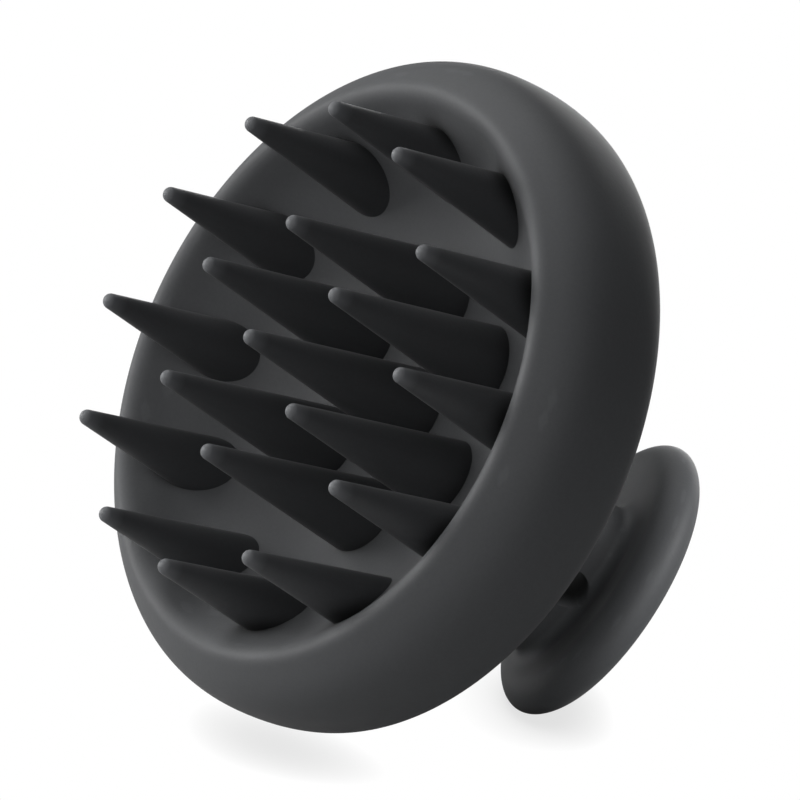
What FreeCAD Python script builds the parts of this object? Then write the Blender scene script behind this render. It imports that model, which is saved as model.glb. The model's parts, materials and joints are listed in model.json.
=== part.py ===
"""Scalp massager brush: a round soft head with nineteen tapered silicone fingers and a leaning saucer grip.

Millimetres, +Z up through the grip. The origin is the centre of the plane that the finger tips stand on.
The head is a body of revolution about Z. The grip has its own leaning frame, whose origin is the middle of
the saucer's rim.
"""

import FreeCAD
import Part

import math
import os

from FreeCAD import Matrix, Placement, Vector

# Head
HEAD_RADIUS = 40.27
CREST_RADIUS = 34.9
CREST_Z = 12.0
BOWL_Z = 26.95
DOME_Z = 36.8
SEAM_RADIUS = 34.8
DOME_WALL = 2.2

# Fingers: one in the middle and two rings, all ending on the plane z = 0
INNER_RING_RADIUS = 14.0
INNER_RING_COUNT = 6
OUTER_RING_RADIUS = 28.0
OUTER_RING_COUNT = 12
TIP_RADIUS = 0.95
TAPER_DEG = 8.8
BEND_DEG = 12.0
ROOT_DEPTH = 1.5
SEAT_DEPTH = 2.7
SEAT_GAP = 0.06
SEAT_FLARE_DEG = BEND_DEG - TAPER_DEG + 1.5
SEAT_FLARE_LENGTH = 9.0

# Clearance between neighbouring mouldings
GAP = 0.05

# Screws
SHANK_RADIUS = 1.0
SCREW_HEAD_RADIUS = 1.9
SCREW_HEAD_HEIGHT = 1.0
SCREW_HOLE_RADIUS = 1.05
SCREW_HOLE_DEPTH = 5.5
SCREW_HEAD_ROOM = 3.0
RECESS_LENGTH = 2.2
RECESS_WIDTH = 0.5
RECESS_DEPTH = 0.5
TRAY_SCREW_LENGTH = 5.2
TRAY_SCREW_RING = 19.8
TRAY_SCREW_ANGLES = (90.0, 210.0, 330.0)
TRAY_SCREW_Z = 27.95
POST_RADIUS = 2.4
POST_FOOT_Z = 31.0
NECK_SCREW_LENGTH = 4.2
NECK_SCREW_OFFSET = 9.7

# Grip: rim centre, lean away from +Z, and the compass direction that it leans towards
RIM_CENTRE = Vector(10.4, -8.9, 55.45)
LEAN_DEG = 24.0
LEAN_AZIMUTH_DEG = -63.5
SAUCER_RADIUS = 18.25
SAUCER_TOP = 5.6
SAUCER_FLOOR = -1.2
NECK_OFFSET = 2.0
COLLAR_TOP = -14.5
HOLE_HEIGHT = -4.25
HOLE_OFFSET = -0.7
HOLE_TOOL_LENGTH = 18.0
HOLE_RADIUS = 2.4
EYE_RADIUS = 3.4
WEB_HALF_WIDTH = 7.2
WEB_HALF_THICKNESS = 2.1
WEB_FOOT = -30.0
FLANGE_Z = 32.4
FLANGE_HALF_LENGTH = 12.5
FLANGE_HALF_WIDTH = 6.0
FLANGE_BLANK = 4.0
CAP_RADIUS = 11.6
PLATE_RADIUS = 10.6
PLATE_BACK = 3.3
PLATE_THICKNESS = 1.5

# How far a cutting or joining shape runs past the face that it goes through
OVERRUN = 1.0
# A height below everything that the back shell holds
BELOW_SHELL_Z = 10.0

# (half width, half thickness, height) of the neck, from the dome up to the saucer
COLLAR_SECTIONS = ((16.0, 10.4, -27.0), (13.2, 7.7, -22.3), (11.4, 6.2, -18.5), (10.8, 5.7, COLLAR_TOP))
NECK_SECTIONS = (
    (10.8, 5.7, COLLAR_TOP + 2 * GAP),
    (10.6, 5.5, -11.5),
    (10.5, 5.4, -8.5),
    (10.5, 5.4, -5.0),
    (10.6, 5.5, -3.2),
    (11.1, 6.0, -2.0),
    (12.1, 7.2, -1.0),
)
SECTION_SQUARENESS = 2.7

AXIS_Z = Vector(0, 0, 1)
ORIGIN = Vector(0, 0, 0)


# ---------------------------------------------------------------- shared helpers

def on_half_plane(points):
    """(radius, height) pairs as points of the XZ half plane."""
    return [Vector(r, 0, z) for r, z in points]


def smooth_curve(points, start_tangent=None, end_tangent=None):
    """A spline through (radius, height) points, with (dr, dz) end tangents if they are given."""
    curve = Part.BSplineCurve()
    if start_tangent is None or end_tangent is None:
        curve.interpolate(on_half_plane(points))
    else:
        tangents = on_half_plane([start_tangent, end_tangent])
        curve.interpolate(Points=on_half_plane(points), InitialTangent=tangents[0], FinalTangent=tangents[1])
    return curve


def polyline(points):
    return Part.makePolygon(on_half_plane(points)).Edges


def revolved(edges):
    """The solid swept by a closed outline in the XZ half plane turning once about Z."""
    face = Part.Face(Part.Wire(Part.__sortEdges__(edges)))
    turned = face.revolve(ORIGIN, AXIS_Z, 360)
    return turned if turned.ShapeType == "Solid" else turned.Solids[0]


def half_space(point, normal, depth):
    """A large block on the far side of a plane, which lies depth behind point, against normal."""
    size = 200.0
    block = Part.makeBox(size, size, size, Vector(-size / 2, -size / 2, -size))
    turn = FreeCAD.Rotation(AXIS_Z, normal)
    block.Placement = Placement(point - normal * depth, turn)
    return block


def one_solid(shape):
    """The largest solid of a boolean result, cleaned of splitter edges."""
    return max(shape.removeSplitter().Solids, key=lambda solid: solid.Volume)


def save(name, shape):
    shape.exportStep("parts/%s.step" % name)


# ---------------------------------------------------------------- head

def bowl_curve():
    """The soft skin's outside: bowl floor, rim crest, outer side and back edge, from the axis to the seam."""
    points = (
        (0.0, BOWL_Z),
        (8.0, 26.45),
        (14.0, 25.45),
        (19.0, 23.95),
        (24.0, 21.45),
        (28.0, 18.35),
        (30.9, 15.55),
        (32.6, 13.45),
        (33.7, 12.35),
        (CREST_RADIUS, CREST_Z),
        (36.3, 12.75),
        (38.0, 14.25),
        (39.3, 16.05),
        (40.05, 18.4),
        (HEAD_RADIUS, 21.2),
        (39.98, 25.0),
        (38.9, 27.7),
        (37.2, 28.95),
        (SEAM_RADIUS, 29.75),
    )
    return smooth_curve(points, (1.0, 0.0), (-1.0, 0.4))


def at_radius(curve, radius, last):
    """The parameter at which a curve that starts on the axis first reaches a radius."""
    low, high = curve.FirstParameter, last
    for _ in range(60):
        middle = (low + high) / 2
        if curve.value(middle).x < radius:
            low = middle
        else:
            high = middle
    return (low + high) / 2


def floor_at(radius):
    """Height and outward unit normal (radial, vertical) of the bowl floor at a radius."""
    curve = bowl_curve()
    crest = curve.parameter(Vector(CREST_RADIUS, 0, CREST_Z))
    where = at_radius(curve, radius, crest)
    tangent = curve.tangent(where)[0]
    return curve.value(where).z, Vector(tangent.z, 0, -tangent.x)


# The tray's underside, outer corner and outer side, where it carries the soft skin
LEDGE_INNER_RADIUS = 32.6
LEDGE_Z = 26.0
TRAY_UNDER = (
    (0.0, 30.4),
    (14.0, 28.95),
    (19.0, 27.5),
    (24.0, 25.3),
    (28.0, 22.6),
    (32.5, 19.6),
)
TRAY_CORNER = (36.6, 18.5)
TRAY_SIDE = (37.5, 20.5)
TRAY_RADIUS = 37.4


def head_skin(seats):
    outside = bowl_curve()
    seam_top = outside.value(outside.LastParameter)
    inside = [(r, z - GAP) for r, z in TRAY_UNDER]
    inside += [(TRAY_CORNER[0] + GAP, TRAY_CORNER[1] - GAP), (TRAY_SIDE[0] + GAP, TRAY_SIDE[1])]
    inside += [(TRAY_RADIUS + GAP, LEDGE_Z + GAP), (SEAM_RADIUS, LEDGE_Z + GAP), (SEAM_RADIUS, seam_top.z)]
    edges = [outside.toShape()]
    edges += polyline([(0.0, BOWL_Z), inside[0]])
    edges += polyline(inside)
    skin = revolved(edges)
    return one_solid(skin.cut(seats))


def head_tray():
    """The rigid tray inside the head: a dish under the bowl and a ring that fills the rim."""
    top = (
        (LEDGE_INNER_RADIUS, LEDGE_Z),
        (LEDGE_INNER_RADIUS, 21.9),
        (28.9, 24.4),
        (24.9, 27.1),
        (19.6, 29.3),
        (14.3, 30.75),
        (0.0, 32.2),
    )
    side = (TRAY_CORNER, TRAY_SIDE, (TRAY_RADIUS, LEDGE_Z))
    tray = revolved(polyline(TRAY_UNDER + side + top + (TRAY_UNDER[0],)))
    for angle in TRAY_SCREW_ANGLES:
        tray = tray.fuse(screw_post(angle, TRAY_SCREW_Z + SCREW_HEAD_HEIGHT, POST_FOOT_Z - GAP))
    for angle in TRAY_SCREW_ANGLES:
        tray = tray.cut(screw_hole(tray_screw_place(angle)))
    return one_solid(tray)


def dome_curve(drop):
    """The head's back, or its inside face drop below it, from the seam to the axis."""
    points = (
        (SEAM_RADIUS - GAP, 29.8),
        (32.6, 30.55),
        (26.0, 32.75),
        (17.0, 35.1),
        (8.0, 36.45),
        (0.0, DOME_Z),
    )
    if drop:
        points = tuple((min(r, LEDGE_INNER_RADIUS), z - drop) for r, z in points[1:])
    return smooth_curve(points, (-1.0, 0.36), (-1.0, 0.0))


def back_shell(frame):
    """The head's domed back with the collar that the neck stands in and posts for the tray screws."""
    outside = dome_curve(0)
    inside = dome_curve(DOME_WALL)
    edge_top = outside.value(outside.FirstParameter)
    edge_foot = inside.value(inside.FirstParameter)
    edges = [outside.toShape(), inside.toShape()]
    edges += polyline([(0.0, DOME_Z), (0.0, DOME_Z - DOME_WALL)])
    foot = LEDGE_Z + GAP
    edges += polyline([(edge_foot.x, edge_foot.z), (edge_foot.x, foot), (edge_top.x, foot)])
    edges += polyline([(edge_top.x, foot), (edge_top.x, edge_top.z)])
    shell = revolved(edges)

    below = revolved(
        [inside.toShape()]
        + polyline([(edge_foot.x, edge_foot.z), (edge_foot.x, BELOW_SHELL_Z), (0.0, BELOW_SHELL_Z)])
        + polyline([(0.0, BELOW_SHELL_Z), (0.0, DOME_Z - DOME_WALL)])
    )
    collar = section_loft(COLLAR_SECTIONS)
    collar.Placement = frame
    shell = shell.fuse(collar.cut(below))
    for angle in TRAY_SCREW_ANGLES:
        shell = shell.fuse(screw_post(angle, POST_FOOT_Z, DOME_Z).common(below))
    for angle in TRAY_SCREW_ANGLES:
        shell = shell.cut(screw_hole(tray_screw_place(angle)))
    shell = shell.cut(web(WEB_FOOT, COLLAR_TOP + OVERRUN, 2 * GAP, frame))
    for side in (-1, 1):
        shell = shell.cut(screw_hole(neck_screw_place(side, frame)))
    return one_solid(shell)


# ---------------------------------------------------------------- fingers

def finger_sites():
    """Every finger as (name, radius from the axis, compass angle)."""
    sites = [("bristle_centre", 0.0, 0.0)]
    for ring, radius, count in (
        ("inner", INNER_RING_RADIUS, INNER_RING_COUNT),
        ("outer", OUTER_RING_RADIUS, OUTER_RING_COUNT),
    ):
        for index in range(count):
            sites.append(("bristle_%s_%d" % (ring, index + 1), radius, 360.0 * index / count))
    return sites


def finger_and_seat(radius):
    """A finger standing at +X radius, and the seat it leaves in the skin.

    The finger is a cone tangent to a small ball at the tip and a large ball at the root. The root ball's
    centre is on the bowl floor, so the finger can bend about it. Its back is cut off parallel to the floor.
    """
    root_z, normal = floor_at(radius)
    taper = math.radians(TAPER_DEG)
    root_radius = TIP_RADIUS + (root_z - TIP_RADIUS) * math.sin(taper)

    def ball_point(centre_z, ball_radius, angle):
        return Vector(ball_radius * math.sin(angle), 0, centre_z - ball_radius * math.cos(angle))

    tangent = math.pi / 2 - taper
    tip_end = ball_point(TIP_RADIUS, TIP_RADIUS, tangent)
    root_start = ball_point(root_z, root_radius, tangent)
    pole = ball_point(root_z, root_radius, math.pi)
    edges = [
        Part.Arc(ORIGIN, ball_point(TIP_RADIUS, TIP_RADIUS, tangent / 2), tip_end).toShape(),
        Part.LineSegment(tip_end, root_start).toShape(),
        Part.Arc(root_start, ball_point(root_z, root_radius, (tangent + math.pi) / 2), pole).toShape(),
        Part.LineSegment(pole, ORIGIN).toShape(),
    ]
    offset = Vector(radius, 0, 0)
    root = Vector(radius, 0, root_z)
    finger = revolved(edges)
    finger.translate(offset)
    finger = one_solid(finger.cut(half_space(root, normal, ROOT_DEPTH)))

    seat_radius = root_radius + SEAT_GAP
    mouth_radius = seat_radius + SEAT_FLARE_LENGTH * math.tan(math.radians(SEAT_FLARE_DEG))
    seat = Part.makeSphere(seat_radius, root)
    seat = seat.fuse(Part.makeCone(seat_radius, mouth_radius, SEAT_FLARE_LENGTH, root, AXIS_Z * -1))
    return finger, seat.cut(half_space(root, normal, SEAT_DEPTH))


def fingers_and_seats():
    """{name: finger} and one tool that cuts every seat."""
    made = {radius: finger_and_seat(radius) for radius in (0.0, INNER_RING_RADIUS, OUTER_RING_RADIUS)}
    fingers, seats = {}, []
    for name, radius, angle in finger_sites():
        finger, seat = (shape.copy() for shape in made[radius])
        for shape in (finger, seat):
            shape.rotate(ORIGIN, AXIS_Z, angle)
        fingers[name] = finger
        seats.append(seat)
    return fingers, seats


# ---------------------------------------------------------------- grip

def grip_frame():
    """The grip's leaning frame: x across the flat neck, y along the hanging hole, z up out of the saucer."""
    lean, azimuth = math.radians(LEAN_DEG), math.radians(LEAN_AZIMUTH_DEG)
    up = Vector(math.sin(lean) * math.cos(azimuth), math.sin(lean) * math.sin(azimuth), math.cos(lean))
    across = Vector(-math.sin(azimuth), math.cos(azimuth), 0)
    through = up.cross(across)
    matrix = Matrix(
        across.x, through.x, up.x, RIM_CENTRE.x,
        across.y, through.y, up.y, RIM_CENTRE.y,
        across.z, through.z, up.z, RIM_CENTRE.z,
    )
    return Placement(matrix)


def neck_frame():
    """The grip's frame moved onto the neck's centre line."""
    return grip_frame() * Placement(Vector(NECK_OFFSET, 0, 0), FreeCAD.Rotation())


def squared_oval(half_width, half_thickness, height):
    """A closed, flat-sided oval in a plane of constant height."""
    count = 32
    power = 2.0 / SECTION_SQUARENESS
    points = []
    for index in range(count):
        angle = 2 * math.pi * index / count
        c, s = math.cos(angle), math.sin(angle)
        x = half_width * math.copysign(abs(c) ** power, c)
        y = half_thickness * math.copysign(abs(s) ** power, s)
        points.append(Vector(x, y, height))
    curve = Part.BSplineCurve()
    curve.interpolate(Points=points, PeriodicFlag=True)
    return Part.Wire(curve.toShape())


def section_loft(sections):
    return Part.makeLoft([squared_oval(*section) for section in sections], True, False)


def web(foot, top, gap, frame):
    """The neck core's flat bar, grown by gap, between two heights of the grip's frame."""
    half_width, half_thickness = WEB_HALF_WIDTH + gap, WEB_HALF_THICKNESS + gap
    straight = half_width - half_thickness
    bar = Part.makeBox(2 * straight, 2 * half_thickness, top - foot, Vector(-straight, -half_thickness, foot))
    for side in (-straight, straight):
        bar = bar.fuse(Part.makeCylinder(half_thickness, top - foot, Vector(side, 0, foot)))
    bar = bar.removeSplitter()
    bar.Placement = frame
    return bar


def hole_pin(radius, frame):
    """A cylinder through the neck along the hanging hole."""
    foot = Vector(HOLE_OFFSET, -HOLE_TOOL_LENGTH / 2, HOLE_HEIGHT)
    pin = Part.makeCylinder(radius, HOLE_TOOL_LENGTH, foot, Vector(0, 1, 0))
    pin.Placement = frame
    return pin


def saucer_outline():
    """The saucer's side view: a dish towards the head, a rounded rim and a domed back."""
    return smooth_curve(
        (
            (0.0, SAUCER_FLOOR),
            (7.0, -1.35),
            (10.5, -1.85),
            (13.2, -2.4),
            (15.0, -2.65),
            (16.3, -2.4),
            (SAUCER_RADIUS, 0.0),
            (16.3, 2.45),
            (12.8, 3.45),
            (7.0, 4.9),
            (0.0, SAUCER_TOP),
        ),
        (1.0, 0.0),
        (-1.0, 0.0),
    )


def saucer(frame):
    outline = saucer_outline()
    shape = revolved([outline.toShape()] + polyline([(0.0, SAUCER_TOP), (0.0, SAUCER_FLOOR)]))
    shape.Placement = frame
    return shape


def disc(radius, foot, height, frame):
    shape = Part.makeCylinder(radius, height, Vector(0, 0, foot))
    shape.Placement = frame
    return shape


def neck_foot(frame):
    """Where the neck's centre line meets the flange's underside."""
    up = frame.Rotation.multVec(AXIS_Z)
    return frame.Base + up * ((FLANGE_Z - frame.Base.z) / up.z)


def neck_flange(frame):
    """The flange that stops the neck core inside the dome, shaped to the dome's inside face."""
    inside = dome_curve(DOME_WALL + GAP)
    rim = inside.value(inside.FirstParameter)
    room = revolved(
        [inside.toShape()]
        + polyline([(rim.x, rim.z), (0.0, rim.z), (0.0, DOME_Z - DOME_WALL - GAP)])
    )
    straight = FLANGE_HALF_LENGTH - FLANGE_HALF_WIDTH
    corner = Vector(-straight, -FLANGE_HALF_WIDTH, 0)
    plate = Part.makeBox(2 * straight, 2 * FLANGE_HALF_WIDTH, FLANGE_BLANK, corner)
    for side in (-straight, straight):
        plate = plate.fuse(Part.makeCylinder(FLANGE_HALF_WIDTH, FLANGE_BLANK, Vector(side, 0, 0)))
    foot = neck_foot(frame)
    plate.rotate(ORIGIN, AXIS_Z, LEAN_AZIMUTH_DEG + 90.0)
    plate.translate(foot)
    return plate.common(room)


def neck_core(frame, saucer_frame):
    """The rigid spine: a flange inside the dome, a flat bar with an eye, and a plate inside the saucer."""
    bar = web(WEB_FOOT, PLATE_BACK - PLATE_THICKNESS / 2, 0.0, frame)
    bar = bar.cut(half_space(Vector(0, 0, FLANGE_Z), AXIS_Z, 0.0))
    core = bar.fuse(neck_flange(frame))
    core = core.fuse(disc(PLATE_RADIUS, PLATE_BACK - PLATE_THICKNESS, PLATE_THICKNESS, saucer_frame))
    core = core.cut(hole_pin(EYE_RADIUS, frame))
    for side in (-1, 1):
        core = core.cut(screw_hole(neck_screw_place(side, frame)))
    return one_solid(core)


def grip_skin(frame, saucer_frame):
    """The soft skin of the neck and the saucer, which also lines the hanging hole."""
    neck = section_loft(NECK_SECTIONS)
    neck.Placement = frame
    skin = neck.fuse(saucer(saucer_frame))
    room = web(COLLAR_TOP - OVERRUN, PLATE_BACK, GAP, frame)
    room = room.cut(hole_pin(EYE_RADIUS - GAP, frame))
    skin = skin.cut(room)
    skin = skin.cut(disc(PLATE_RADIUS + GAP, PLATE_BACK - PLATE_THICKNESS - GAP, SAUCER_TOP, saucer_frame))
    skin = skin.cut(disc(CAP_RADIUS + GAP, PLATE_BACK, SAUCER_TOP, saucer_frame))
    skin = skin.cut(hole_pin(HOLE_RADIUS, frame))
    return one_solid(skin)


def grip_cap(frame):
    """The domed disc that closes the saucer's back."""
    return one_solid(saucer(frame).common(disc(CAP_RADIUS, PLATE_BACK + GAP, SAUCER_TOP, frame)))


# ---------------------------------------------------------------- screws

def tray_screw_place(angle):
    """A tray screw's frame: its flat head sunk in the tray's underside, pointing up."""
    turn = math.radians(angle)
    return Placement(
        Vector(TRAY_SCREW_RING * math.cos(turn), TRAY_SCREW_RING * math.sin(turn), TRAY_SCREW_Z),
        FreeCAD.Rotation(),
    )


def screw_post(angle, foot, top):
    """A post around a tray screw, between two heights."""
    base = tray_screw_place(angle).Base
    return Part.makeCylinder(POST_RADIUS, top - foot, Vector(base.x, base.y, foot))


def neck_screw_place(side, frame):
    """A neck screw's frame: its flat head flush with the flange's underside, pointing up."""
    across = frame.Rotation.multVec(Vector(1, 0, 0))
    return Placement(neck_foot(frame) + across * (side * NECK_SCREW_OFFSET), FreeCAD.Rotation())


def flat_head_screw(length, place):
    screw = Part.makeCone(SCREW_HEAD_RADIUS, SHANK_RADIUS, SCREW_HEAD_HEIGHT)
    screw = screw.fuse(Part.makeCylinder(SHANK_RADIUS, length, ORIGIN))
    for length, width in ((RECESS_LENGTH, RECESS_WIDTH), (RECESS_WIDTH, RECESS_LENGTH)):
        screw = screw.cut(Part.makeBox(length, width, RECESS_DEPTH, Vector(-length / 2, -width / 2, 0)))
    screw = one_solid(screw)
    screw.Placement = place
    return screw


def screw_hole(place):
    """The countersunk hole for a screw, a little deeper and wider than the screw."""
    grow = SCREW_HOLE_RADIUS - SHANK_RADIUS
    hole = Part.makeCone(SCREW_HEAD_RADIUS + grow, SCREW_HOLE_RADIUS, SCREW_HEAD_HEIGHT)
    head_foot = Vector(0, 0, -SCREW_HEAD_ROOM)
    hole = hole.fuse(Part.makeCylinder(SCREW_HEAD_RADIUS + grow, SCREW_HEAD_ROOM, head_foot))
    hole = hole.fuse(Part.makeCylinder(SCREW_HOLE_RADIUS, SCREW_HOLE_DEPTH, ORIGIN))
    hole.Placement = place
    return hole


def tray_screws():
    return Part.makeCompound(
        [flat_head_screw(TRAY_SCREW_LENGTH, tray_screw_place(angle)) for angle in TRAY_SCREW_ANGLES]
    )


def neck_screws(frame):
    return Part.makeCompound(
        [flat_head_screw(NECK_SCREW_LENGTH, neck_screw_place(side, frame)) for side in (-1, 1)]
    )


def main():
    os.makedirs("parts", exist_ok=True)
    saucer_frame = grip_frame()
    frame = neck_frame()
    fingers, seats = fingers_and_seats()
    for name, finger in fingers.items():
        save(name, finger)
    save("head_skin", head_skin(seats))
    save("head_tray", head_tray())
    save("back_shell", back_shell(frame))
    save("neck_core", neck_core(frame, saucer_frame))
    save("grip_skin", grip_skin(frame, saucer_frame))
    save("grip_cap", grip_cap(saucer_frame))
    save("tray_screws", tray_screws())
    save("neck_screws", neck_screws(frame))


main()
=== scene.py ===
import json
import math

import bmesh
import bpy
import numpy as np
from mathutils import Matrix, Vector


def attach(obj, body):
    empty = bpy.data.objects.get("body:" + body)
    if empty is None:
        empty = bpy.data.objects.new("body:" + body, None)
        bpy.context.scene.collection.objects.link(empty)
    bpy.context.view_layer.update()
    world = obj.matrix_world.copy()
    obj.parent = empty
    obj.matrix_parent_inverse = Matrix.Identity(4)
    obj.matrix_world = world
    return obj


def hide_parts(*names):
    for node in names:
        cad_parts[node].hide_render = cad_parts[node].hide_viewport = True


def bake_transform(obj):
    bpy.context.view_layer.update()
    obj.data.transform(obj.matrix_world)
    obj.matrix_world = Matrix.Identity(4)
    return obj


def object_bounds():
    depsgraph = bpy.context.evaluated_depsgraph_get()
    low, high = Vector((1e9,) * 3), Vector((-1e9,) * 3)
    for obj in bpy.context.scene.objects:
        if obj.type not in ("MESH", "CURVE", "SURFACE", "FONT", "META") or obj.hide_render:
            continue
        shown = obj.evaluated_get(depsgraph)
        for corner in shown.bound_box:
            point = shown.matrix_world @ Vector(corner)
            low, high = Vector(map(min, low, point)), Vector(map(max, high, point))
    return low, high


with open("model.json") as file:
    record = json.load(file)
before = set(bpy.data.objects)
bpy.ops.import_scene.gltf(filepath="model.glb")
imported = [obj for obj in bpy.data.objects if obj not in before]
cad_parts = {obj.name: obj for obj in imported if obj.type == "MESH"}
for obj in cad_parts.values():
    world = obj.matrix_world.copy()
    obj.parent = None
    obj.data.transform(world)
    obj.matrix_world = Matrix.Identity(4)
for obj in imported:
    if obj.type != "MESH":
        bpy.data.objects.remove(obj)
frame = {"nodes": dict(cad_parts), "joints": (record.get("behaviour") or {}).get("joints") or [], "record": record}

cad_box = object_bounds()

MM = 0.001
AXIS_Z = Vector((0, 0, 1))

# ---------------------------------------------------------------- sizes, in millimetres

# The head's outside as (radius, height): bowl floor, rim crest, outer side, back edge
HEAD_OUTSIDE = (
    (0.0, 26.95),
    (8.0, 26.45),
    (14.0, 25.45),
    (19.0, 23.95),
    (24.0, 21.45),
    (28.0, 18.35),
    (30.9, 15.55),
    (32.6, 13.45),
    (33.7, 12.35),
    (34.9, 12.0),
    (36.3, 12.75),
    (38.0, 14.25),
    (39.3, 16.05),
    (40.05, 18.4),
    (40.27, 21.2),
    (39.98, 25.0),
    (38.9, 27.7),
    (37.2, 28.95),
    (35.1, 29.7),
)
# The corner at the seam round the back, where the skin turns in
HEAD_SEAM = (34.8, 29.8)
# The skin's inside, where it lies on the tray, from the seam back to the axis
HEAD_INSIDE = (
    (34.85, 29.45),
    (34.8, 26.05),
    (37.45, 26.05),
    (37.55, 20.5),
    (36.6, 18.45),
    (32.5, 19.55),
    (28.0, 22.55),
    (24.0, 25.25),
    (19.0, 27.45),
    (14.0, 28.9),
    (0.0, 30.35),
)
DOME = ((0.0, 36.8), (8.0, 36.45), (17.0, 35.1), (26.0, 32.75), (32.6, 30.55), (34.6, 29.8))
DOME_EDGE = ((34.72, 29.6), (34.72, 26.1), (32.6, 26.1))
DOME_WALL = 2.2

TIP_RADIUS = 0.95
TAPER = math.radians(8.8)
ROOT_DEPTH = 1.3

# The grip's own frame starts from the cord hole: the saucer's centre and the neck's centre line lie beside it
SAUCER_SHIFT = -1.3
SAUCER_RISE = 4.25
NECK_SHIFT = 2.0
NECK_HALF_WIDTH = 10.5
NECK_HALF_THICKNESS = 5.4
NECK_SQUARENESS = 2.7
NECK_FLARE = 0.3
NECK_FLARE_TOP = -8.5
PARTING = -14.45
PARTING_GAP = 0.05
# How far inside the neck's outline the rows of its flat parting faces run
PARTING_INSETS = (3.0, 1.0)
SAUCER_FILLET = (2.5, 1.6)
DOME_FILLET = (6.2, 3.6)
SAUCER_UNDERSIDE = (
    (0.0, -1.2),
    (7.0, -1.35),
    (10.5, -1.85),
    (13.2, -2.4),
    (15.0, -2.65),
    (16.3, -2.4),
    (18.25, 0.0),
)
SAUCER_BACK = ((18.25, 0.0), (16.3, 2.45), (12.8, 3.45), (7.0, 4.9), (0.0, 5.6))
# Where the dish's rows, which spread from the neck, become circles round the saucer's centre, and how far
# outside of that the next row may start
DISH_RADIUS = 16.0
ROW_CLEARANCE = 0.05
CAP_RADIUS = 11.6
CAP_DEPTH = 1.0
SEAT_RADIUS = CAP_RADIUS + 0.05
SEAT_LEDGE_RADIUS = CAP_RADIUS - 1.0
CAP_EDGE_RADIUS = CAP_RADIUS - 0.03
CAP_LIFT = 0.02
HOLE_TOOL_LENGTH = 16.0

# The rounding of the edges along each seam, and how far short of the cap's seam the curves beside it stop
LIP = 0.22
LIP_CLEARANCE = 0.4

# ---------------------------------------------------------------- mesh density

# Points to each span of a smooth curve
HEAD_SPAN = 8
DOME_SPAN = 16
SAUCER_BACK_SPAN = 16
SAUCER_SPAN = 24
# Points to a rounded corner, and millimetres between the rows of the head's inside
CORNER_POINTS = 5
HEAD_INSIDE_STEP = 1.5
HEAD_COLUMNS = 288
NECK_COLUMNS = 240
CAP_COLUMNS = 192
HOLE_COLUMNS = 96
FLOOR_COLUMNS = 96
FINGER_COLUMNS = 72
FINGER_TIP_ROWS = 12
FINGER_SIDE_ROWS = 44
LIP_ROWS = 5
NECK_ROWS = 30
SAUCER_FILLET_ROWS = 14
DISH_ROWS = 26
COLLAR_ROWS = 12
DOME_FILLET_ROWS = 18
DOME_ROWS = 40
# Steps round the neck's outline when its length is measured, and steps to find the dome under a point
OUTLINE_STEPS = 4000
DOME_SEARCH_STEPS = 12

# ---------------------------------------------------------------- colours and light

SKIN_COLOUR = (0.045, 0.0465, 0.049)
BRISTLE_COLOUR = (0.032, 0.033, 0.035)
PLASTIC_COLOUR = (0.03, 0.03, 0.032)
# In metres: the heights between which the painted highlight on a finger's tip fades out, and how near a wall the
# painted shade in a crease reaches
TIP_HIGHLIGHT_HEIGHTS = (0.0003, 0.0026)
PAINTED_SHADE_REACH = 0.006

# The camera's own directions in the object's frame, where it stands in metres, and its lens in millimetres
CAMERA_RIGHT = Vector((-0.346, -0.6112, 0.7118))
CAMERA_UP = Vector((-0.9347, 0.1594, -0.3175))
CAMERA_BACK = CAMERA_RIGHT.cross(CAMERA_UP)
CAMERA_PLACE = Vector((0.0561, -0.5432, -0.41435))
CAMERA_LENS = 270.0
SENSOR_WIDTH = 36.0

# The strength of the surround as a light, from beside the object and from the camera's side
FILL_SIDES = 0.20
FILL_FRONT = 0.12

# The direction up from the floor that the brush lies on, the floor's size in metres, and its colour to the lights
FLOOR_UP = Vector((-0.870, -0.074, -0.487)).normalized()
FLOOR_RADIUS = 0.30
FLOOR_GREY = (0.5, 0.5, 0.5, 1)
# How bright the floor stays in its deepest shadow, and how far in metres a piece shades it
FLOOR_SHADOW = 0.75
FLOOR_SHADOW_REACH = 0.006

# In metres
LIGHT_DISTANCE = 0.7
LIGHT_SIZE = 0.5
# Where each light stands from the object, as parts of the camera's right, up and back, and its watts
LIGHTS = {
    "top": ((-0.25, 1.0, -0.1), 2.2),
    "key": ((-0.75, 0.35, 0.5), 2.6),
    "left_edge": ((-0.95, 0.4, -0.25), 5.0),
    "front": ((0.0, 0.1, 1.0), 1.05),
    "back_right": ((0.35, 0.25, -0.9), 3.0),
}
# Lights that reach the back cover, the grip and the knob cap only
BACK_LIGHTS = {
    "grip_edge": ((0.9, 0.3, 0.35), 6.5),
    "grip_fill": ((0.4, 0.15, 0.9), 2.2),
}


# ---------------------------------------------------------------- curves

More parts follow.
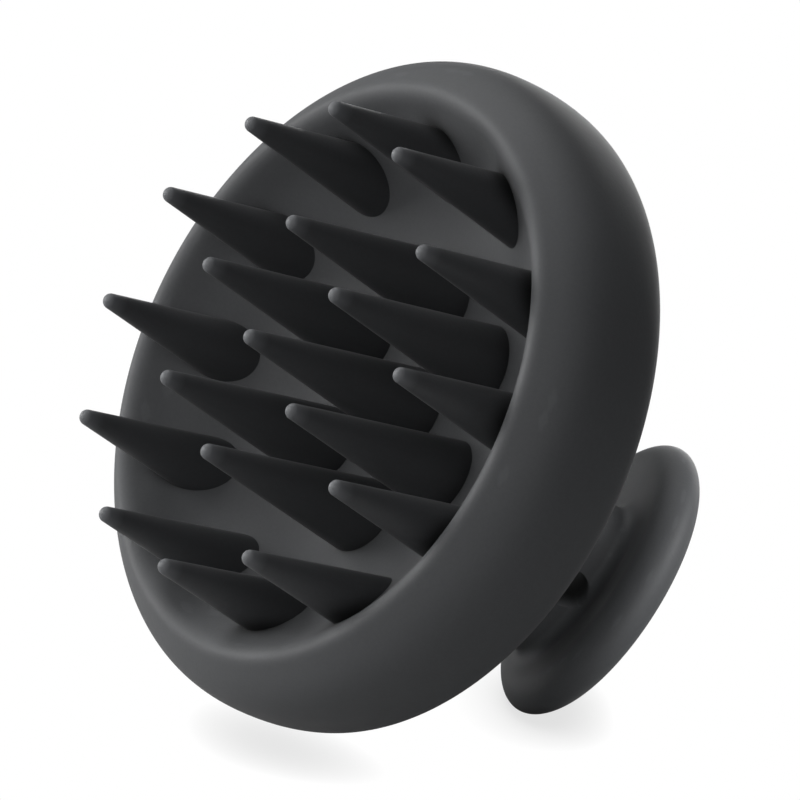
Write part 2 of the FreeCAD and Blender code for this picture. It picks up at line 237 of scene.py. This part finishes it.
def spline(points, per_span, start=None, end=None):
    """A cubic spline through points, as an array, with end directions where they are given."""
    p = np.array(points, float)
    u = np.concatenate([[0.0], np.cumsum(np.linalg.norm(np.diff(p, axis=0), axis=1))])
    h = np.diff(u)
    n = len(p)
    left = np.zeros((n, n))
    right = np.zeros((n, p.shape[1]))
    for i in range(1, n - 1):
        left[i, i - 1:i + 2] = h[i - 1], 2 * (h[i - 1] + h[i]), h[i]
        right[i] = 6 * ((p[i + 1] - p[i]) / h[i] - (p[i] - p[i - 1]) / h[i - 1])
    left[0, 0] = left[-1, -1] = 1.0
    if start is not None:
        direction = np.array(start, float) / np.linalg.norm(start)
        left[0, :2] = 2 * h[0], h[0]
        right[0] = 6 * ((p[1] - p[0]) / h[0] - direction)
    if end is not None:
        direction = np.array(end, float) / np.linalg.norm(end)
        left[-1, -2:] = h[-1], 2 * h[-1]
        right[-1] = 6 * (direction - (p[-1] - p[-2]) / h[-1])
    m = np.linalg.solve(left, right)
    out = []
    for i in range(n - 1):
        for t in np.linspace(0, 1, per_span, endpoint=False):
            a, b = 1 - t, t
            bend = ((a ** 3 - a) * m[i] + (b ** 3 - b) * m[i + 1]) * h[i] ** 2 / 6
            out.append(a * p[i] + b * p[i + 1] + bend)
    out.append(p[-1])
    return np.array(out)


def height_of(curve, radius):
    """The height of a curve that runs outwards from the axis, at a radius before it turns back."""
    outward = curve[:int(np.argmax(curve[:, 0])) + 1]
    return float(np.interp(radius, outward[:, 0], outward[:, 1]))


def along(points, step):
    """A polyline as evenly spaced points, with its corners kept."""
    out = []
    for first, last in zip(points, points[1:]):
        first, last = np.array(first, float), np.array(last, float)
        count = max(1, round(math.dist(first, last) / step))
        out += [first + (last - first) * i / count for i in range(count)]
    return out + [np.array(points[-1], float)]


def rounded_corner(corner, before, after, radius):
    """Points that round a corner off, between points at the given distance before and after it."""
    corner, before, after = (np.array(p, float) for p in (corner, before, after))
    start = corner + (before - corner) / np.linalg.norm(before - corner) * radius
    end = corner + (after - corner) / np.linalg.norm(after - corner) * radius
    out = []
    for t in np.linspace(0, 1, CORNER_POINTS):
        out.append((1 - t) ** 2 * start + 2 * t * (1 - t) * corner + t * t * end)
    return out


def fillet_rows(size, count):
    """A quarter-oval fillet as (distance out, distance down) pairs, from the wall to the surface beyond."""
    out = []
    for k in range(count + 1):
        turn = math.pi / 2 * k / count
        out.append((size[0] * (1 - math.cos(turn)), size[1] * (1 - math.sin(turn))))
    return out


# ---------------------------------------------------------------- meshes

def mesh_object(name, points, faces):
    """A smooth-shaded mesh object in the scene."""
    mesh = bpy.data.meshes.new(name)
    mesh.from_pydata([tuple(p) for p in points], [], faces)
    mesh.validate()
    mesh.polygons.foreach_set("use_smooth", [True] * len(mesh.polygons))
    obj = bpy.data.objects.new(name, mesh)
    bpy.context.scene.collection.objects.link(obj)
    return obj


def skin_rings(name, rings, start_pole=None, end_pole=None):
    """A surface through rings of equal length, in metres, closed by a pole or a flat face at each end."""
    count = len(rings[0])
    points = [tuple(p) for ring in rings for p in ring]
    faces = []
    for row in range(len(rings) - 1):
        for i in range(count):
            j = (i + 1) % count
            a, b = row * count, (row + 1) * count
            faces.append((a + i, a + j, b + j, b + i))
    last = (len(rings) - 1) * count
    if start_pole is None:
        faces.append(tuple(reversed(range(count))))
    else:
        points.append(tuple(start_pole))
        faces += [(len(points) - 1, (i + 1) % count, i) for i in range(count)]
    if end_pole is None:
        faces.append(tuple(last + i for i in range(count)))
    else:
        points.append(tuple(end_pole))
        faces += [(len(points) - 1, last + i, last + (i + 1) % count) for i in range(count)]
    return mesh_object(name, points, faces)


def full_turn(count):
    """Angles spaced evenly over one turn."""
    return [2 * math.pi * i / count for i in range(count)]


def lathe(name, profile, columns, place=Matrix.Identity(4)):
    """A profile of (radius, height) points in millimetres, turned round the Z axis of place.

    A profile that starts and ends on the axis gives a closed solid.
    """
    rings = []
    for r, z in profile[1:-1]:
        ring = [Vector((r * math.cos(a) * MM, r * math.sin(a) * MM, z * MM)) for a in full_turn(columns)]
        rings.append([place @ p for p in ring])
    start = place @ Vector((0, 0, profile[0][1] * MM))
    end = place @ Vector((0, 0, profile[-1][1] * MM))
    return skin_rings(name, rings, start, end)


def face_outwards(obj):
    """Turns every face of a closed mesh to point out of it."""
    work = bmesh.new()
    work.from_mesh(obj.data)
    bmesh.ops.recalc_face_normals(work, faces=work.faces)
    work.to_mesh(obj.data)
    work.free()


def carve(obj, tool):
    """Cuts a closed tool out of a closed piece, and removes the tool."""
    face_outwards(obj)
    face_outwards(tool)
    cut = obj.modifiers.new("carve", "BOOLEAN")
    cut.operation = "DIFFERENCE"
    cut.solver = "EXACT"
    cut.object = tool
    bpy.context.view_layer.update()
    shaped = obj.evaluated_get(bpy.context.evaluated_depsgraph_get())
    mesh = bpy.data.meshes.new_from_object(shaped)
    obj.modifiers.clear()
    obj.data = mesh
    bpy.data.objects.remove(tool)
    mesh.polygons.foreach_set("use_smooth", [True] * len(mesh.polygons))


# ---------------------------------------------------------------- materials

def node(tree, kind, **settings):
    """A new shader node with its inputs or its own settings set by name."""
    made = tree.nodes.new(kind)
    for key, value in settings.items():
        if key in made.inputs:
            made.inputs[key].default_value = value
        else:
            setattr(made, key, value)
    return made


def noise(tree, coords, scale, detail=4.0):
    """Noise with scale cells to the metre."""
    made = node(tree, "ShaderNodeTexNoise", Scale=scale, Detail=detail, Roughness=0.55)
    tree.links.new(coords, made.inputs["Vector"])
    return made.outputs["Fac"]


def remap(tree, value, low, high, new_low, new_high):
    """Moves a value's range from low..high to new_low..new_high, and clamps it there."""
    made = node(tree, "ShaderNodeMapRange")
    tree.links.new(value, made.inputs["Value"])
    for name, number in (("From Min", low), ("From Max", high), ("To Min", new_low), ("To Max", new_high)):
        made.inputs[name].default_value = number
    return made.outputs["Result"]


def mix_colour(tree, factor, first, second):
    """Mixes two colours, each a plain colour or a node's output, by a number or a node's output."""
    made = node(tree, "ShaderNodeMix", data_type="RGBA")
    for name, value in (("Factor", factor), ("A", first), ("B", second)):
        if isinstance(value, bpy.types.NodeSocket):
            tree.links.new(value, made.inputs[name])
        elif isinstance(value, tuple):
            made.inputs[name].default_value = (*value, 1)
        else:
            made.inputs[name].default_value = value
    return made.outputs["Result"]


def mix_shader(tree, factor, first, second):
    """Mixes the outputs of two shaders by a node's output."""
    made = tree.nodes.new("ShaderNodeMixShader")
    for socket, value in zip(made.inputs, (factor, first, second)):
        tree.links.new(value, socket)
    return made.outputs[0]


def shade(colour, factor):
    """A colour made darker or paler by a factor."""
    return tuple(c * factor for c in colour)


def bump(tree, height, strength, distance, under=None):
    """A bump normal from a height, on top of another one where it is given."""
    made = node(tree, "ShaderNodeBump", Strength=strength, Distance=distance)
    tree.links.new(height, made.inputs["Height"])
    if under is not None:
        tree.links.new(under, made.inputs["Normal"])
    return made.outputs["Normal"]


def new_material(name):
    """A material, its node tree, its shader and the object's coordinates in metres."""
    material = bpy.data.materials.new(name)
    material.use_nodes = True
    tree = material.node_tree
    coords = tree.nodes.new("ShaderNodeTexCoord").outputs["Object"]
    return material, tree, tree.nodes["Principled BSDF"], coords


def silicone(name, colour, roughness, sheen, painted_tip_highlight=False):
    """Matte moulded silicone: cloudy tone, fine grain, soft sheen, paler where edges are rubbed, a painted
    highlight on the finger tips and painted shade in creases.
    """
    material, tree, shader, coords = new_material(name)
    cloud = noise(tree, coords, 55.0, 3.0)
    peel = noise(tree, coords, 700.0, 3.0)
    grain = noise(tree, coords, 2600.0, 2.0)
    cloudy = remap(tree, cloud, 0.3, 0.7, 0.0, 1.0)
    grainy = remap(tree, grain, 0.35, 0.65, 0.0, 1.0)
    body = mix_colour(tree, cloudy, shade(colour, 0.9), shade(colour, 1.1))
    fleck = mix_colour(tree, grainy, shade(colour, 0.93), shade(colour, 1.07))
    tone = mix_colour(tree, 0.5, body, fleck)

    # Painted highlight: on the fingers the colour turns paler towards their tips; on the other pieces sharp edges
    # are paler where rubbed.
    if painted_tip_highlight:
        height = tree.nodes.new("ShaderNodeSeparateXYZ")
        tree.links.new(coords, height.inputs["Vector"])
        wear_and_highlight = remap(tree, height.outputs["Z"], *TIP_HIGHLIGHT_HEIGHTS, 1.0, 0.0)
        worn_and_highlit = mix_colour(tree, wear_and_highlight, tone, shade(colour, 2.6))
    else:
        edge = tree.nodes.new("ShaderNodeNewGeometry").outputs["Pointiness"]
        wear_and_highlight = remap(tree, edge, 0.52, 0.6, 0.0, 0.35)
        worn_and_highlit = mix_colour(tree, wear_and_highlight, tone, shade(colour, 1.5))
    # Painted shade: the colour darkens close to walls, in creases, at the finger roots and in the cord hole.
    painted_shade_ao = node(tree, "ShaderNodeAmbientOcclusion", Distance=PAINTED_SHADE_REACH, samples=8)
    unshaded = remap(tree, painted_shade_ao.outputs["AO"], 0.25, 0.55, 0.0, 1.0)
    tree.links.new(mix_colour(tree, unshaded, shade(colour, 0.12), worn_and_highlit), shader.inputs["Base Color"])

    rough = remap(tree, cloud, 0.3, 0.7, roughness - 0.05, roughness + 0.05)
    tree.links.new(rough, shader.inputs["Roughness"])
    shader.inputs["IOR"].default_value = 1.42
    shader.inputs["Specular IOR Level"].default_value = 0.38
    shader.inputs["Sheen Weight"].default_value = sheen
    shader.inputs["Sheen Roughness"].default_value = 0.45
    fine = bump(tree, grain, 0.35, 0.00003)
    tree.links.new(bump(tree, peel, 0.3, 0.00006, under=fine), shader.inputs["Normal"])
    return material


def moulded_plastic(name, colour):
    """Rigid textured plastic of the hidden inner pieces."""
    material, tree, shader, coords = new_material(name)
    grain = noise(tree, coords, 1500.0)
    tone = mix_colour(tree, remap(tree, grain, 0.3, 0.7, 0.0, 1.0), shade(colour, 0.85), colour)
    tree.links.new(tone, shader.inputs["Base Color"])
    tree.links.new(remap(tree, grain, 0.3, 0.7, 0.4, 0.55), shader.inputs["Roughness"])
    tree.links.new(bump(tree, grain, 0.3, 0.00003), shader.inputs["Normal"])
    return material


def plated_steel(name):
    """Zinc-plated screw steel with a fine mottled plating."""
    material, tree, shader, coords = new_material(name)
    mottle = noise(tree, coords, 4000.0)
    tone = mix_colour(tree, remap(tree, mottle, 0.3, 0.7, 0.0, 1.0), (0.5, 0.5, 0.52), (0.62, 0.62, 0.62))
    tree.links.new(tone, shader.inputs["Base Color"])
    tree.links.new(remap(tree, mottle, 0.3, 0.7, 0.25, 0.45), shader.inputs["Roughness"])
    shader.inputs["Metallic"].default_value = 1.0
    return material


def paint(obj, material):
    """Gives a piece one material."""
    obj.data.materials.clear()
    obj.data.materials.append(material)


# ---------------------------------------------------------------- head

def head_outside():
    """The head's outside as a smooth curve of (radius, height)."""
    return spline(HEAD_OUTSIDE, HEAD_SPAN, start=(1, 0), end=(-1, 0.4))


def bowl_skin():
    """The head's skin: bowl floor, rim, side and back edge, and the inside that lies on the tray."""
    outside = list(head_outside())
    lip = rounded_corner(HEAD_SEAM, outside[-1], HEAD_INSIDE[0], LIP)
    return lathe("bowl_skin", outside + lip + along(HEAD_INSIDE, HEAD_INSIDE_STEP), HEAD_COLUMNS)


def floor_normal(radius):
    """The bowl floor's outward direction, as (radial, vertical), at a radius."""
    curve = head_outside()
    step = 0.2
    slope = (height_of(curve, radius + step) - height_of(curve, radius - step)) / (2 * step)
    length = math.hypot(slope, 1.0)
    return slope / length, -1.0 / length


def finger(name, root):
    """A round-tipped tapering finger from its root point on the bowl floor down to the tip plane."""
    radius = math.hypot(root.x, root.y) / MM
    root_z = root.z / MM
    radial, vertical = floor_normal(radius)
    around = full_turn(FINGER_COLUMNS)

    rings = []
    for k in range(1, FINGER_TIP_ROWS + 1):
        turn = (math.pi / 2 - TAPER) * k / FINGER_TIP_ROWS
        r, z = TIP_RADIUS * math.sin(turn), TIP_RADIUS * (1 - math.cos(turn))
        rings.append([(r * math.cos(a), r * math.sin(a), z) for a in around])

    start_r = TIP_RADIUS * math.cos(TAPER)
    start_z = TIP_RADIUS * (1 - math.sin(TAPER))
    for k in range(1, FINGER_SIDE_ROWS + 1):
        ring = []
        for a in around:
            # The side line at this angle runs on until it is ROOT_DEPTH behind the floor's plane
            lean = radial * math.cos(a)
            reach = -ROOT_DEPTH - lean * start_r - vertical * (start_z - root_z)
            length = reach / (lean * math.tan(TAPER) + vertical)
            climb = length * k / FINGER_SIDE_ROWS
            r = start_r + climb * math.tan(TAPER)
            ring.append((r * math.cos(a), r * math.sin(a), start_z + climb))
        rings.append(ring)

    turned = Matrix.Rotation(math.atan2(root.y, root.x), 4, "Z")
    place = turned @ Matrix.Translation((radius * MM, 0, 0)) @ Matrix.Scale(MM, 4)
    rings = [[place @ Vector(p) for p in ring] for ring in rings]
    return skin_rings(name, rings, start_pole=place @ Vector((0, 0, 0)))


def fingers(material):
    """One tapering finger for each bristle body, from the bowl floor to its tip."""
    pieces = []
    for joint in frame["joints"]:
        body = joint["child"]
        root = Vector(joint["pos_m"])
        piece = finger(body.replace("bristle", "finger"), root)
        face_outwards(piece)
        paint(piece, material)
        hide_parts(body)
        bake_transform(piece)
        pieces.append(piece)
    return pieces


# ---------------------------------------------------------------- grip

class Grip:
    """The grip's leaning frame: x across the flat neck, y along the cord hole, z up out of the saucer."""

    def __init__(self):
        hole = next(m for m in frame["record"]["mounts"] if m["name"] == "cord_hole")
        self.through = Vector(hole["axis"]).normalized()
        self.across = self.through.cross(AXIS_Z).normalized()
        self.up = self.across.cross(self.through)
        self.hole = Vector(hole["pos_m"])
        self.hole_radius = hole["dims"]["r_mm"]
        self.centre = self.hole + (self.across * SAUCER_SHIFT + self.up * SAUCER_RISE) * MM

    def at(self, x, y, z):
        """The point at x, y and z millimetres from the saucer's centre."""
        return self.centre + (self.across * x + self.through * y + self.up * z) * MM

    def place(self):
        """The matrix that stands a piece on the saucer's centre, along its axis."""
        turn = Matrix((self.across, self.through, self.up)).transposed().to_4x4()
        return Matrix.Translation(self.centre) @ turn


def neck_directions():
    """Unit directions round the neck, spaced evenly along its squared oval."""
    power = 2.0 / NECK_SQUARENESS
    outline = []
    for angle in full_turn(OUTLINE_STEPS):
        c, s = math.cos(angle), math.sin(angle)
        outline.append((
            NECK_HALF_WIDTH * math.copysign(abs(c) ** power, c),
            NECK_HALF_THICKNESS * math.copysign(abs(s) ** power, s),
        ))
    outline = np.array(outline + outline[:1])
    run = np.concatenate([[0.0], np.cumsum(np.linalg.norm(np.diff(outline, axis=0), axis=1))])
    where = np.linspace(0, run[-1], NECK_COLUMNS, endpoint=False)
    x, y = np.interp(where, run, outline[:, 0]), np.interp(where, run, outline[:, 1])
    length = np.hypot(x, y)
    return list(zip(x / length, y / length))


def neck_reach(direction, height):
    """How far the neck's surface is from its centre line in a direction, at a height."""
    flare = 0.0
    if height < NECK_FLARE_TOP:
        flare = NECK_FLARE * ((height - NECK_FLARE_TOP) / (PARTING - NECK_FLARE_TOP)) ** 2
    a, b = NECK_HALF_WIDTH + flare, NECK_HALF_THICKNESS + flare
    power = NECK_SQUARENESS
    return ((abs(direction[0]) / a) ** power + (abs(direction[1]) / b) ** power) ** (-1 / power)


def neck_point(direction, reach):
    """The (x, y) of a point at a distance from the neck's centre line, in a direction."""
    return NECK_SHIFT + direction[0] * reach, direction[1] * reach


def neck_ring(grip, directions, heights, inset=0.0):
    """A ring on the neck's surface, or inset from it, with one height for each direction."""
    ring = []
    for d, height in zip(directions, heights):
        ring.append(grip.at(*neck_point(d, neck_reach(d, height) - inset), height))
    return ring


def parting_rings(grip, directions, height, side):
    """The flat parting face across the neck and its rounded edge, turned up (side 1) or down (side -1)."""
    rings = [neck_ring(grip, directions, [height] * NECK_COLUMNS, inset) for inset in PARTING_INSETS]
    for out, down in reversed(fillet_rows((LIP, LIP), LIP_ROWS)):
        rings.append(neck_ring(grip, directions, [height + side * down] * NECK_COLUMNS, out))
    return rings


def saucer_turn(direction):
    """The angle round the saucer's centre at which a ray from the neck's centre line leaves the dish."""
    b = direction[0] * NECK_SHIFT
    x, y = neck_point(direction, -b + math.sqrt(b * b - NECK_SHIFT ** 2 + DISH_RADIUS ** 2))
    return math.atan2(y, x)


def saucer_back(per_span):
    """The saucer's back, from its widest point in to the axis."""
    return spline(SAUCER_BACK, per_span, start=(0, 1), end=(-1, 0))


def saucer_back_height(radius):
    """The height of the saucer's back at a radius."""
    return height_of(saucer_back(SAUCER_SPAN)[::-1], radius)


def grip_skin(grip):
    """Neck and saucer as one skin, with the cord hole cut through it.

    It runs up the neck, through the fillet, over the dish and the rim, and ends in the cap's seat.
    """
    directions = neck_directions()
    reaches = [neck_reach(d, NECK_FLARE_TOP) for d in directions]
    underside = spline(SAUCER_UNDERSIDE, SAUCER_SPAN, start=(1, 0), end=(0, 1))

    def dish(x, y):
        return height_of(underside, math.hypot(x, y))

    foot = PARTING + PARTING_GAP
    rings = parting_rings(grip, directions, foot, 1)

    # Up the neck
    low = foot + LIP
    tops = [dish(*neck_point(d, reach)) - SAUCER_FILLET[1] for d, reach in zip(directions, reaches)]
    for k in range(1, NECK_ROWS + 1):
        rings.append(neck_ring(grip, directions, [low + (top - low) * k / NECK_ROWS for top in tops]))

    # Through the fillet
    for out, down in fillet_rows(SAUCER_FILLET, SAUCER_FILLET_ROWS)[1:]:
        edge = [neck_point(d, reach + out) for d, reach in zip(directions, reaches)]
        rings.append([grip.at(x, y, dish(x, y) - down) for x, y in edge])

    # Over the dish
    turns = [saucer_turn(d) for d in directions]
    for k in range(1, DISH_ROWS + 1):
        t = k / DISH_ROWS
        ring = []
        for (x, y), turn in zip(edge, turns):
            px = x + (DISH_RADIUS * math.cos(turn) - x) * t
            py = y + (DISH_RADIUS * math.sin(turn) - y) * t
            ring.append(grip.at(px, py, dish(px, py)))
        rings.append(ring)

    # Round the rim, over the back and into the cap's seat
    rim = [p for p in underside if p[0] > DISH_RADIUS + ROW_CLEARANCE]
    back = [p for p in saucer_back(SAUCER_BACK_SPAN) if p[0] > CAP_RADIUS + LIP_CLEARANCE]
    seat_top = saucer_back_height(SEAT_RADIUS)
    seat_floor = seat_top - CAP_DEPTH
    seat = rounded_corner((SEAT_RADIUS, seat_top), back[-1], (SEAT_RADIUS, 0.0), LIP)
    seat += [(SEAT_RADIUS, seat_floor), (SEAT_LEDGE_RADIUS, seat_floor)]
    for r, z in rim + back[1:] + seat:
        rings.append([grip.at(r * math.cos(turn), r * math.sin(turn), z) for turn in turns])
    piece = skin_rings("grip_cover", rings)
    carve(piece, hole_tool(grip))
    return piece


def hole_tool(grip):
    """A pin through the neck along the cord hole."""
    r, half = grip.hole_radius, HOLE_TOOL_LENGTH / 2
    profile = ((0.0, -half), (r, -half), (r, half), (0.0, half))
    turn = Matrix((grip.up, grip.across, grip.through)).transposed().to_4x4()
    return lathe("hole_tool", profile, HOLE_COLUMNS, Matrix.Translation(grip.hole) @ turn)


def knob_cap(grip):
    """The domed disc in the saucer's back, with a softened edge."""
    top = [p for p in saucer_back(SAUCER_BACK_SPAN) if p[0] < CAP_RADIUS - LIP_CLEARANCE][::-1]
    edge_z = saucer_back_height(CAP_RADIUS)
    edge = rounded_corner((CAP_EDGE_RADIUS, edge_z), top[-1], (CAP_EDGE_RADIUS, 0.0), LIP)
    foot = edge_z - CAP_DEPTH + CAP_LIFT
    return lathe("knob_cap", top + edge + [(CAP_EDGE_RADIUS, foot), (0.0, foot)], CAP_COLUMNS, grip.place())


def dome_height(grip, dome, x, y):
    """The height in the grip's frame at which the line through (x, y) along its axis meets the dome."""
    height = PARTING
    for _ in range(DOME_SEARCH_STEPS):
        p = grip.at(x, y, height)
        above = p.z / MM - height_of(dome, math.hypot(p.x, p.y) / MM)
        height -= above / grip.up.z
    return height


def back_cover(grip):
    """The head's domed back, rising through a fillet into the collar under the neck."""
    directions = neck_directions()
    reaches = [neck_reach(d, PARTING) for d in directions]
    dome = spline(DOME, DOME_SPAN, start=(1, 0))

    top = PARTING - PARTING_GAP
    rings = parting_rings(grip, directions, top, -1)

    # Down the collar
    high = top - LIP
    wall = [neck_point(d, reach) for d, reach in zip(directions, reaches)]
    lows = [dome_height(grip, dome, x, y) + DOME_FILLET[1] for x, y in wall]
    for k in range(1, COLLAR_ROWS + 1):
        t = k / COLLAR_ROWS
        rings.append([grip.at(x, y, high + (low - high) * t) for (x, y), low in zip(wall, lows)])

    # Through the fillet
    for out, down in fillet_rows(DOME_FILLET, DOME_FILLET_ROWS)[1:]:
        edge = [neck_point(d, reach + out) for d, reach in zip(directions, reaches)]
        foot = [grip.at(x, y, dome_height(grip, dome, x, y) + down) for x, y in edge]
        rings.append(foot)

    # Over the dome
    middle = sum(foot, Vector()) / len(foot)
    turns = [math.atan2(p.y - middle.y, p.x - middle.x) for p in foot]
    edge_radius = DOME[-1][0]
    for k in range(1, DOME_ROWS + 1):
        t = k / DOME_ROWS
        ring = []
        for p, turn in zip(foot, turns):
            x = p.x / MM * (1 - t) + edge_radius * math.cos(turn) * t
            y = p.y / MM * (1 - t) + edge_radius * math.sin(turn) * t
            ring.append(Vector((x, y, height_of(dome, math.hypot(x, y)))) * MM)
        rings.append(ring)

    # Down its edge and back to the axis under it
    inner = [(r, z - DOME_WALL) for r, z in reversed(DOME[:-1]) if r > 0]
    for r, z in list(DOME_EDGE) + inner:
        rings.append([Vector((r * math.cos(turn), r * math.sin(turn), z)) * MM for turn in turns])
    return skin_rings("back_cover", rings, end_pole=Vector((0, 0, DOME[0][1] - DOME_WALL)) * MM)


# ---------------------------------------------------------------- studio

def camera():
    """The camera, at the fixed place and with the fixed turn that are given above."""
    data = bpy.data.cameras.new("camera")
    data.lens = CAMERA_LENS
    data.sensor_width = SENSOR_WIDTH
    data.clip_start, data.clip_end = 0.01, 10.0
    obj = bpy.data.objects.new("camera", data)
    turn = Matrix((CAMERA_RIGHT, CAMERA_UP, CAMERA_BACK)).transposed().to_4x4()
    obj.matrix_world = Matrix.Translation(CAMERA_PLACE) @ turn
    bpy.context.scene.collection.objects.link(obj)
    bpy.context.scene.camera = obj


def box_middle():
    """The middle of the whole object."""
    low, high = cad_box
    return (low + high) / 2


def softbox(name, side, watts, lit=()):
    """A round area light that faces the object from one side. With lit, it shines on those pieces only."""
    right, up, back = side
    direction = (CAMERA_RIGHT * right + CAMERA_UP * up + CAMERA_BACK * back).normalized()
    data = bpy.data.lights.new(name, "AREA")
    data.shape = "DISK"
    data.size = LIGHT_SIZE
    data.energy = watts
    obj = bpy.data.objects.new(name, data)
    turn = direction.to_track_quat("Z", "Y").to_matrix().to_4x4()
    obj.matrix_world = Matrix.Translation(box_middle() + direction * LIGHT_DISTANCE) @ turn
    bpy.context.scene.collection.objects.link(obj)
    if lit:
        group = bpy.data.collections.new(name + "_lit")
        for piece in lit:
            group.objects.link(piece)
        obj.light_linking.receiver_collection = group


def backdrop():
    """A white surround: bright to the camera; as a light it is dimmer, most of all on the camera's side."""
    world = bpy.data.worlds.new("surround")
    world.use_nodes = True
    bpy.context.scene.world = world
    tree = world.node_tree
    tree.nodes.clear()
    facing = node(tree, "ShaderNodeVectorMath", operation="DOT_PRODUCT")
    tree.links.new(tree.nodes.new("ShaderNodeTexCoord").outputs["Generated"], facing.inputs[0])
    facing.inputs[1].default_value = CAMERA_BACK
    seen = node(tree, "ShaderNodeBackground", Color=(1, 1, 1, 1), Strength=1.0)
    fill = node(tree, "ShaderNodeBackground", Color=(0.97, 0.985, 1, 1))
    strength = remap(tree, facing.outputs["Value"], -0.6, 0.9, FILL_SIDES, FILL_FRONT)
    tree.links.new(strength, fill.inputs["Strength"])
    to_camera = tree.nodes.new("ShaderNodeLightPath").outputs["Is Camera Ray"]
    out = tree.nodes.new("ShaderNodeOutputWorld")
    tree.links.new(mix_shader(tree, to_camera, fill.outputs[0], seen.outputs[0]), out.inputs["Surface"])


def floor(touching):
    """A pale floor under the pieces that touch it, which fades into the surround and is open from below."""
    lowest = min((piece.matrix_world @ v.co).dot(FLOOR_UP) for piece in touching for v in piece.data.vertices)
    middle = box_middle()
    middle = middle + FLOOR_UP * (lowest - middle.dot(FLOOR_UP))
    turn = FLOOR_UP.to_track_quat("Z", "Y").to_matrix().to_4x4()
    points = []
    for share in (0.25, 0.5, 0.75, 1.0):
        for a in full_turn(FLOOR_COLUMNS):
            points.append(Vector((math.cos(a), math.sin(a), 0)) * FLOOR_RADIUS * share)
    rows = len(points) // FLOOR_COLUMNS
    points.append(Vector())
    faces = [(len(points) - 1, i, (i + 1) % FLOOR_COLUMNS) for i in range(FLOOR_COLUMNS)]
    for row in range(rows - 1):
        a, b = row * FLOOR_COLUMNS, (row + 1) * FLOOR_COLUMNS
        for i in range(FLOOR_COLUMNS):
            j = (i + 1) % FLOOR_COLUMNS
            faces.append((a + i, b + i, b + j, a + j))
    obj = mesh_object("floor", points, faces)
    obj.matrix_world = Matrix.Translation(middle) @ turn
    obj.data.materials.append(floor_material())


def floor_material():
    """White to the camera but for a soft contact shadow; to the lights it is plain matte grey."""
    material = bpy.data.materials.new("pale_floor")
    material.use_nodes = True
    tree = material.node_tree
    tree.nodes.clear()
    bounce = node(tree, "ShaderNodeBsdfDiffuse", Color=FLOOR_GREY)
    near = node(tree, "ShaderNodeAmbientOcclusion", Distance=FLOOR_SHADOW_REACH)
    seen = node(tree, "ShaderNodeEmission", Color=(1, 1, 1, 1))
    tree.links.new(remap(tree, near.outputs["AO"], 0.35, 1.0, FLOOR_SHADOW, 1.0), seen.inputs["Strength"])
    to_camera = tree.nodes.new("ShaderNodeLightPath").outputs["Is Camera Ray"]
    look = mix_shader(tree, to_camera, bounce.outputs[0], seen.outputs[0])

    length = node(tree, "ShaderNodeVectorMath", operation="LENGTH")
    tree.links.new(tree.nodes.new("ShaderNodeTexCoord").outputs["Object"], length.inputs[0])
    fade = remap(tree, length.outputs["Value"], FLOOR_RADIUS * 0.45, FLOOR_RADIUS * 0.95, 1.0, 0.0)
    front = node(tree, "ShaderNodeMath", operation="SUBTRACT")
    front.inputs[0].default_value = 1.0
    tree.links.new(tree.nodes.new("ShaderNodeNewGeometry").outputs["Backfacing"], front.inputs[1])
    cover = node(tree, "ShaderNodeMath", operation="MULTIPLY")
    tree.links.new(front.outputs[0], cover.inputs[0])
    tree.links.new(fade, cover.inputs[1])
    clear = tree.nodes.new("ShaderNodeBsdfTransparent")
    out = tree.nodes.new("ShaderNodeOutputMaterial")
    tree.links.new(mix_shader(tree, cover.outputs[0], clear.outputs[0], look), out.inputs["Surface"])
    return material


def studio(pieces, back_pieces):
    """Camera, surround, floor and lights."""
    bpy.context.scene.view_settings.view_transform = "Standard"
    bpy.context.scene.view_settings.look = "None"
    camera()
    backdrop()
    floor(pieces)
    for name, (side, watts) in LIGHTS.items():
        softbox(name, side, watts)
    for name, (side, watts) in BACK_LIGHTS.items():
        softbox(name, side, watts, back_pieces)


# ---------------------------------------------------------------- build

def build():
    """Paints the inner pieces, makes the skins and fingers that show, and sets up the studio."""
    skin = silicone("skin_silicone", SKIN_COLOUR, 0.64, 0.03)
    # The fingers get a painted highlight at their tips.
    soft = silicone("bristle_silicone", BRISTLE_COLOUR, 0.56, 0.02, painted_tip_highlight=True)
    plastic = moulded_plastic("core_plastic", PLASTIC_COLOUR)
    steel = plated_steel("screw_steel")
    for name, obj in frame["nodes"].items():
        if name.endswith("screws"):
            paint(obj, steel)
        elif name in ("head_tray", "neck_core"):
            paint(obj, plastic)

    grip = Grip()
    covers = (
        (bowl_skin(), "head_skin"),
        (back_cover(grip), "back_shell"),
        (grip_skin(grip), "grip_skin"),
        (knob_cap(grip), "grip_cap"),
    )
    for piece, cad_node in covers:
        face_outwards(piece)
        paint(piece, skin)
        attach(piece, "head")
        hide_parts(cad_node)
    pieces = [piece for piece, _ in covers]
    studio(pieces + fingers(soft), pieces[1:])


build()
